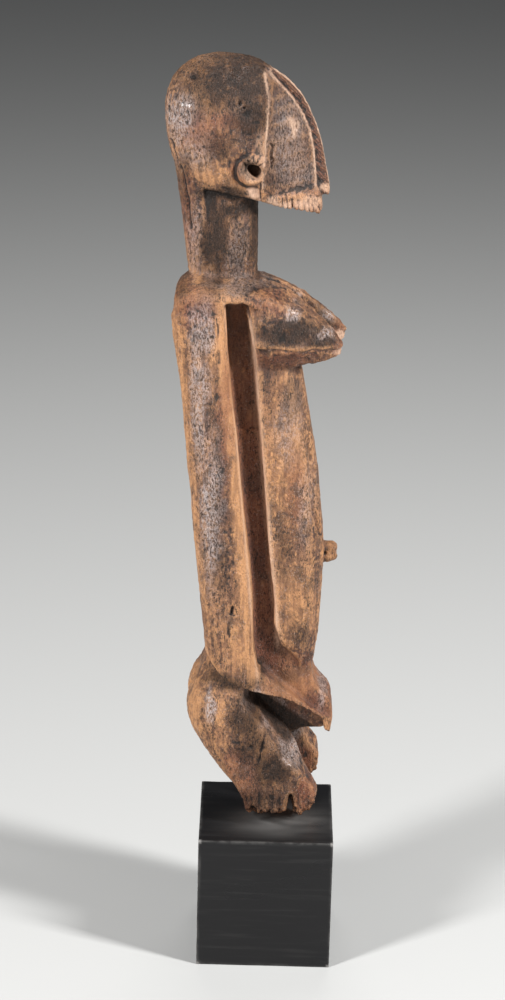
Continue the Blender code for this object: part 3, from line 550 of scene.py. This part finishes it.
class Recipe:
    """A material's nodes, added one after another."""

    def __init__(self, name):
        self.material = bpy.data.materials.new(name)
        self.material.use_nodes = True
        self.tree = self.material.node_tree
        self.shader = self.tree.nodes["Principled BSDF"]
        places = self.tree.nodes.new("ShaderNodeTexCoord")
        self.places = places.outputs["Object"]

    def put(self, socket, value):
        """Join a value, or another node's output, to a socket."""
        if isinstance(value, bpy.types.NodeSocket):
            self.tree.links.new(value, socket)
        elif value is not None:
            socket.default_value = value

    def stretched(self, scale):
        """The places in space, scaled along each axis."""
        node = self.tree.nodes.new("ShaderNodeMapping")
        self.put(node.inputs["Vector"], self.places)
        node.inputs["Scale"].default_value = scale
        return node.outputs["Vector"]

    def noise(self, scale, detail=3.0, rough=0.55, stretch=(1.0, 1.0, 1.0), shift=0.0):
        """Cloudy values from 0 to 1, with a given number of clouds to the metre."""
        node = self.tree.nodes.new("ShaderNodeTexNoise")
        self.put(node.inputs["Vector"], self.stretched(stretch))
        node.noise_dimensions = "4D"
        node.inputs["W"].default_value = shift
        node.inputs["Scale"].default_value = scale
        node.inputs["Detail"].default_value = detail
        node.inputs["Roughness"].default_value = rough
        return node.outputs["Fac"]

    def attribute(self, name):
        """The numbers kept at the points of the piece."""
        node = self.tree.nodes.new("ShaderNodeAttribute")
        node.attribute_name = name
        return node.outputs["Fac"]

    def strokes(self, pitch, width):
        """Slanting strokes that run down and forwards, one to each pitch, ragged as if cut by hand."""
        turned = self.tree.nodes.new("ShaderNodeMapping")
        self.put(turned.inputs["Vector"], self.places)
        turned.inputs["Rotation"].default_value = (0.0, math.radians(45.0), 0.0)
        bands = self.tree.nodes.new("ShaderNodeTexWave")
        bands.bands_direction = "X"
        self.put(bands.inputs["Vector"], turned.outputs["Vector"])
        bands.inputs["Scale"].default_value = math.pi / (10.0 * pitch)
        bands.inputs["Distortion"].default_value = 4.5
        bands.inputs["Detail"].default_value = 2.0
        bands.inputs["Detail Scale"].default_value = 1.4
        return self.step(bands.outputs["Fac"], 1.0 - width, 1.0)

    def step(self, value, low, high, floor=0.0, top=1.0):
        """From floor to top as the value passes from low to high."""
        node = self.tree.nodes.new("ShaderNodeMapRange")
        node.interpolation_type = "SMOOTHSTEP"
        self.put(node.inputs["Value"], value)
        for socket, number in zip(("From Min", "From Max", "To Min", "To Max"), (low, high, floor, top)):
            node.inputs[socket].default_value = number
        return node.outputs["Result"]

    def join(self, operation, first, second):
        """Two values joined by a named operation, such as ADD, and held between 0 and 1."""
        node = self.tree.nodes.new("ShaderNodeMath")
        node.operation = operation
        node.use_clamp = True
        self.put(node.inputs[0], first)
        self.put(node.inputs[1], second)
        return node.outputs["Value"]

    def mix(self, amount, below, above):
        """One colour laid over another."""
        node = self.tree.nodes.new("ShaderNodeMix")
        node.data_type = "RGBA"
        self.put(node.inputs[MIX_AMOUNT], amount)
        self.put(node.inputs[MIX_BELOW], (*below, 1.0) if isinstance(below, tuple) else below)
        self.put(node.inputs[MIX_ABOVE], (*above, 1.0) if isinstance(above, tuple) else above)
        return node.outputs[MIX_RESULT]

    def bump(self, height, distance, strength, under=None):
        """Fine relief in the light only."""
        node = self.tree.nodes.new("ShaderNodeBump")
        node.inputs["Distance"].default_value = distance
        node.inputs["Strength"].default_value = strength
        self.put(node.inputs["Height"], height)
        self.put(node.inputs["Normal"], under)
        return node.outputs["Normal"]


def old_wood():
    """The figure's finish."""
    wood = Recipe("old_wood_patina")
    grain = wood.noise(GRAIN, detail=5.0, rough=0.6, stretch=(1.0, 1.0, 0.09))
    clouds = wood.noise(CLOUDS, detail=4.0, rough=0.6, stretch=(1.0, 1.0, 0.55), shift=2.0)
    flecks = wood.noise(FLECKS, detail=3.0, rough=0.7, stretch=(1.0, 1.0, 0.5), shift=4.0)
    grit = wood.noise(GRIT, detail=2.0, rough=0.7, stretch=(1.0, 1.0, 0.6), shift=6.0)
    blots = wood.noise(BLOTS, detail=5.0, rough=0.7, stretch=(1.0, 1.0, 0.55), shift=8.0)
    stains = wood.noise(STAINS, detail=5.0, rough=0.7, stretch=(1.0, 1.0, 0.6), shift=10.0)
    soot_and_shade, bloom_and_sheen = wood.attribute("soot_and_shade"), wood.attribute("bloom_and_sheen")
    ochre, red, pale = wood.attribute("ochre"), wood.attribute("red"), wood.attribute("pale")
    hollow, recess_crust_and_shade = wood.attribute("hollow"), wood.attribute("recess_crust_and_shade")

    # The wood itself, then each layer laid over what is there
    colour = wood.mix(wood.step(clouds, 0.4, 0.6), DARK_WOOD, HEARTWOOD)
    colour = wood.mix(wood.step(grain, 0.42, 0.62, 0.0, 0.7), colour, DARK_WOOD)
    rubbed = wood.step(hollow, 0.47, 0.22)
    # Rubbed orange wood, with the lit strips along the arms painted lighter too
    worn_and_lit = wood.join("ADD", wood.join("MULTIPLY", ochre, wood.step(blots, 0.4, 0.58, 0.3, 1.0)),
                    wood.join("MULTIPLY", rubbed, 0.65))
    worn_and_lit = wood.join("MULTIPLY", worn_and_lit, wood.step(grain, 0.62, 0.45, 0.55, 1.0))
    colour = wood.mix(worn_and_lit, colour, OCHRE_WOOD)
    reddened = wood.join("MULTIPLY", red, wood.step(blots, 0.35, 0.55, 0.5, 1.0))
    colour = wood.mix(reddened, colour, RED_WOOD)
    # Flecks of dust bloom and of painted sheen
    dust_and_glare = wood.join("MULTIPLY", bloom_and_sheen, wood.step(flecks, 0.42, 0.6, 0.15, 0.95))
    colour = wood.mix(dust_and_glare, colour, GREY_BLOOM_AND_SHEEN)
    stained = wood.step(stains, 0.53, 0.63, 0.0, 0.6)
    # Soot and stain, with painted shade darkening along with them
    smoke_and_shade = wood.join("MULTIPLY", soot_and_shade, wood.step(blots, 0.35, 0.5, 0.75, 1.0))
    stained = wood.join("MULTIPLY", stained, wood.step(pale, 0.1, 0.6, 1.0, 0.2))
    smoke_and_shade = wood.join("MAXIMUM", smoke_and_shade, stained)
    smoke_and_shade = wood.join("MULTIPLY", smoke_and_shade, wood.step(bloom_and_sheen, 0.5, 1.0, 1.0, 0.5))
    colour = wood.mix(smoke_and_shade, colour, SMOKE_AND_SHADE_BROWN)
    # Painted glints: small pale spots of painted highlight
    painted_glints = wood.join("MULTIPLY", wood.step(grit, 0.57, 0.68), wood.step(stains, 0.42, 0.58, 0.15, 0.65))
    painted_glints = wood.join("MULTIPLY", painted_glints, wood.step(soot_and_shade, 0.2, 0.9, 1.0, 0.4))
    colour = wood.mix(painted_glints, colour, GREY_BLOOM_AND_SHEEN)
    # Pale bare wood, and painted highlights along the edges
    bare_and_highlit = wood.join("MULTIPLY", pale, wood.step(grain, 0.3, 0.6, 0.4, 0.95))
    colour = wood.mix(bare_and_highlit, colour, PALE_WOOD)
    crusted = wood.join("ADD", wood.step(blots, 0.42, 0.58, 0.35, 1.0), wood.join("MULTIPLY", soot_and_shade, 0.4))
    crusted = wood.join("MULTIPLY", crusted, wood.step(ochre, 0.35, 0.9, 1.0, 0.3))
    speckle = wood.join("MULTIPLY", wood.step(flecks, 0.52, 0.4), crusted)
    pitted = wood.join("MULTIPLY", wood.step(grit, 0.43, 0.34), wood.step(blots, 0.4, 0.6, 0.3, 0.9))
    # Crust in the dents, and painted shade in the broad recesses
    hollow_crust_and_shade = wood.join("MAXIMUM", wood.step(hollow, 0.58, 0.8), wood.step(recess_crust_and_shade, 0.62, 0.95, 0.0, 0.85))
    nicks = wood.join("MULTIPLY", wood.attribute("nicked"), wood.strokes(NICK_PITCH, 0.3))
    nicks = wood.join("MULTIPLY", nicks, wood.step(flecks, 0.4, 0.55, 0.3, 1.0))
    black = wood.join("MAXIMUM", wood.join("MAXIMUM", pitted, speckle), wood.join("MAXIMUM", hollow_crust_and_shade, nicks))
    black = wood.join("MULTIPLY", black, wood.step(pale, 0.2, 0.8, 0.88, 0.3))
    colour = wood.mix(black, colour, SOOT_AND_SHADE_BLACK)

    gloss = wood.step(wood.join("ADD", wood.join("MULTIPLY", bloom_and_sheen, 0.5), wood.join("MULTIPLY", soot_and_shade, 0.3)),
                      0.1, 0.6, 0.48, 0.27)
    roughness = wood.join("ADD", gloss, wood.step(blots, 0.35, 0.65, -0.08, 0.16))
    relief = wood.bump(flecks, FLECK_RELIEF, 0.9)
    relief = wood.bump(grain, GRAIN_RELIEF, 0.45, relief)
    relief = wood.bump(grit, GRIT_RELIEF, 0.7, relief)
    relief = wood.bump(wood.join("SUBTRACT", 1.0, nicks), NICK_RELIEF, 0.9, relief)
    wood.put(wood.shader.inputs["Base Color"], colour)
    wood.put(wood.shader.inputs["Roughness"], roughness)
    wood.put(wood.shader.inputs["Normal"], relief)
    wood.put(wood.shader.inputs["Specular IOR Level"], wood.step(soot_and_shade, 0.3, 0.9, 0.42, 0.22))
    wood.put(wood.shader.inputs["Coat Weight"], wood.step(bloom_and_sheen, 0.4, 1.0, 0.0, 0.3))
    wood.shader.inputs["Coat Roughness"].default_value = WAX_ROUGHNESS
    return wood.material


figure.data.materials.append(old_wood())
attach(figure, "root")
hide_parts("figure")

# Plinth: a squared block of close-grained wood, stained black and waxed. Its edges are eased
# with sandpaper, handling has rubbed them a little lighter, and a painted glare of the lights lies
# on the wax by the legs.
PLINTH_LOW, PLINTH_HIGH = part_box("plinth")
PLINTH_STEPS = 36
PLINTH_EASING = 0.0007
EASING_UNEVENNESS = 0.45
EDGE_CROWDING = 1.6
# Where the painted glare of the lights lies on the top, before the near leg
GLARE_MIDDLE, GLARE_REACH = (12.0, -12.0), (24.0, 13.0)
BLACK_STAIN = (0.0075, 0.0072, 0.0078)
RUBBED_BLACK = (0.055, 0.053, 0.051)
# Pale colour of the dust in the corners and of the painted glare
PALE_DUST_AND_GLARE = (0.42, 0.40, 0.38)
FINE_GRAIN, UNEVENNESS, SMEARS = 420.0, 160.0, 28.0
FINE_GRAIN_RELIEF = 0.0003
WAX_SHINE = 0.3


def plinth_block():
    """The block with sharp edges, finely divided, and most finely towards its edges."""
    shape = bmesh.new()
    bmesh.ops.create_cube(shape, size=2.0)
    bmesh.ops.subdivide_edges(shape, edges=shape.edges[:], cuts=PLINTH_STEPS, use_grid_fill=True)
    middle, half = (PLINTH_LOW + PLINTH_HIGH) / 2, (PLINTH_HIGH - PLINTH_LOW) / 2
    for vertex in shape.verts:
        spot = [math.copysign(1.0 - (1.0 - abs(along)) ** EDGE_CROWDING, along) for along in vertex.co]
        vertex.co = Vector(middle[axis] + spot[axis] * half[axis] for axis in range(3))
    mesh = bpy.data.meshes.new("black_plinth")
    shape.to_mesh(mesh)
    shape.free()
    return mesh


def ease_edges(mesh):
    """Round the block's edges over unevenly; keep nearness to edge, corner and painted glare."""
    flat = np.empty(len(mesh.vertices) * 3)
    mesh.vertices.foreach_get("co", flat)
    spots = flat.reshape(-1, 3)
    middle, half = np.array((PLINTH_LOW + PLINTH_HIGH) / 2), np.array((PLINTH_HIGH - PLINTH_LOW) / 2)
    easing = PLINTH_EASING * (1.0 + EASING_UNEVENNESS * noise(spots * PER_METRE, (9.0, 9.0, 9.0), 91))
    core = half - easing[:, None]
    outside = np.abs(spots - middle) - core
    beyond = np.maximum(outside, 0.0)
    reach = np.linalg.norm(beyond, axis=1)
    shrink = np.where(reach > 0, np.minimum(easing / np.maximum(reach, 1e-9), 1.0), 1.0)
    held = np.minimum(np.abs(spots - middle), core) + beyond * shrink[:, None]
    mesh.vertices.foreach_set("co", (middle + np.sign(spots - middle) * held).ravel())
    ranked = np.sort(outside, axis=1)
    keep_attribute(mesh, "edge", ramp(ranked[:, 1], -1.0 * PLINTH_EASING, 0.3 * PLINTH_EASING))
    keep_attribute(mesh, "corner", ramp(ranked[:, 0], -2.2 * PLINTH_EASING, 0.0))
    # The painted glare on the top by the legs
    foot = np.hypot((spots[:, 0] * PER_METRE - GLARE_MIDDLE[0]) / GLARE_REACH[0],
                    (spots[:, 1] * PER_METRE - GLARE_MIDDLE[1]) / GLARE_REACH[1])
    on_top = spots[:, 2] > PLINTH_HIGH.z - 2.0 * PLINTH_EASING
    keep_attribute(mesh, "dust_and_glare", np.exp(-foot ** 2) * on_top)
    mesh.shade_smooth()
    mesh.update()


def black_stain():
    """The plinth's finish."""
    stain = Recipe("waxed_black_stain")
    grain = stain.noise(FINE_GRAIN, detail=4.0, rough=0.6, stretch=(0.05, 1.0, 1.0))
    smears = stain.noise(SMEARS, detail=3.0, rough=0.5, stretch=(0.35, 1.0, 1.0), shift=3.0)
    uneven = stain.noise(UNEVENNESS, detail=3.0, rough=0.6, shift=5.0)
    rub = stain.join("MULTIPLY", stain.attribute("edge"), stain.step(uneven, 0.35, 0.6, 0.25, 1.0))
    colour = stain.mix(stain.step(grain, 0.5, 0.75, 0.0, 0.2), BLACK_STAIN, RUBBED_BLACK)
    colour = stain.mix(rub, colour, RUBBED_BLACK)
    colour = stain.mix(stain.join("MULTIPLY", stain.attribute("corner"), 0.5), colour, PALE_DUST_AND_GLARE)
    # Painted glare, smeared
    painted_glare = stain.join("MULTIPLY", stain.attribute("dust_and_glare"), stain.step(smears, 0.35, 0.6, 0.05, 0.4))
    colour = stain.mix(painted_glare, colour, PALE_DUST_AND_GLARE)
    stain.put(stain.shader.inputs["Base Color"], colour)
    stain.put(stain.shader.inputs["Roughness"], stain.step(smears, 0.35, 0.65, 0.26, 0.42))
    stain.put(stain.shader.inputs["Normal"], stain.bump(grain, FINE_GRAIN_RELIEF, 0.12))
    stain.shader.inputs["Specular IOR Level"].default_value = WAX_SHINE
    return stain.material


block = plinth_block()
ease_edges(block)
block.materials.append(black_stain())
plinth = bpy.data.objects.new("black_plinth", block)
bpy.context.scene.collection.objects.link(plinth)
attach(plinth, "root")
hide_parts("plinth")

# Studio: a plain pale floor, a tall soft light at each side that grazes the planes and brings out
# the tool marks, a weak one above and behind, and faint even light all round.
FLOOR_SIZE = 40.0
FLOOR_COLOUR = (0.5, 0.5, 0.49, 1.0)
FLOOR_ROUGHNESS = 0.8
SKY_COLOUR = (0.75, 0.78, 0.82, 1.0)
SKY_STRENGTH = 0.07
# Lights: (name, place, width and height, watts)
LIGHTS = (("right_light", (1.25, -0.62, 1.15), (0.2, 0.7), 44.0),
          ("left_light", (-1.05, -0.85, 0.95), (0.2, 0.7), 30.0),
          ("top_light", (0.0, 0.6, 1.5), (0.5, 0.5), 6.0))
LIGHT_TARGET = Vector((0.0, 0.0, 0.28))

ground = bmesh.new()
bmesh.ops.create_grid(ground, x_segments=1, y_segments=1, size=FLOOR_SIZE / 2)
floor_mesh = bpy.data.meshes.new("floor")
ground.to_mesh(floor_mesh)
ground.free()
floor = bpy.data.objects.new("floor", floor_mesh)
bpy.context.scene.collection.objects.link(floor)
floor_paint = Recipe("pale_floor")
floor_paint.shader.inputs["Base Color"].default_value = FLOOR_COLOUR
floor_paint.shader.inputs["Roughness"].default_value = FLOOR_ROUGHNESS
floor_mesh.materials.append(floor_paint.material)

for name, place, size, power in LIGHTS:
    lamp = bpy.data.lights.new(name, "AREA")
    lamp.shape = "RECTANGLE"
    lamp.size, lamp.size_y = size
    lamp.energy = power
    light = bpy.data.objects.new(name, lamp)
    light.location = place
    light.rotation_euler = (LIGHT_TARGET - Vector(place)).to_track_quat("-Z", "Y").to_euler()
    bpy.context.scene.collection.objects.link(light)

sky = bpy.data.worlds.new("even_light")
sky.use_nodes = True
sky.node_tree.nodes["Background"].inputs["Color"].default_value = SKY_COLOUR
sky.node_tree.nodes["Background"].inputs["Strength"].default_value = SKY_STRENGTH
bpy.context.scene.world = sky
bpy.context.scene.view_settings.view_transform = "Standard"
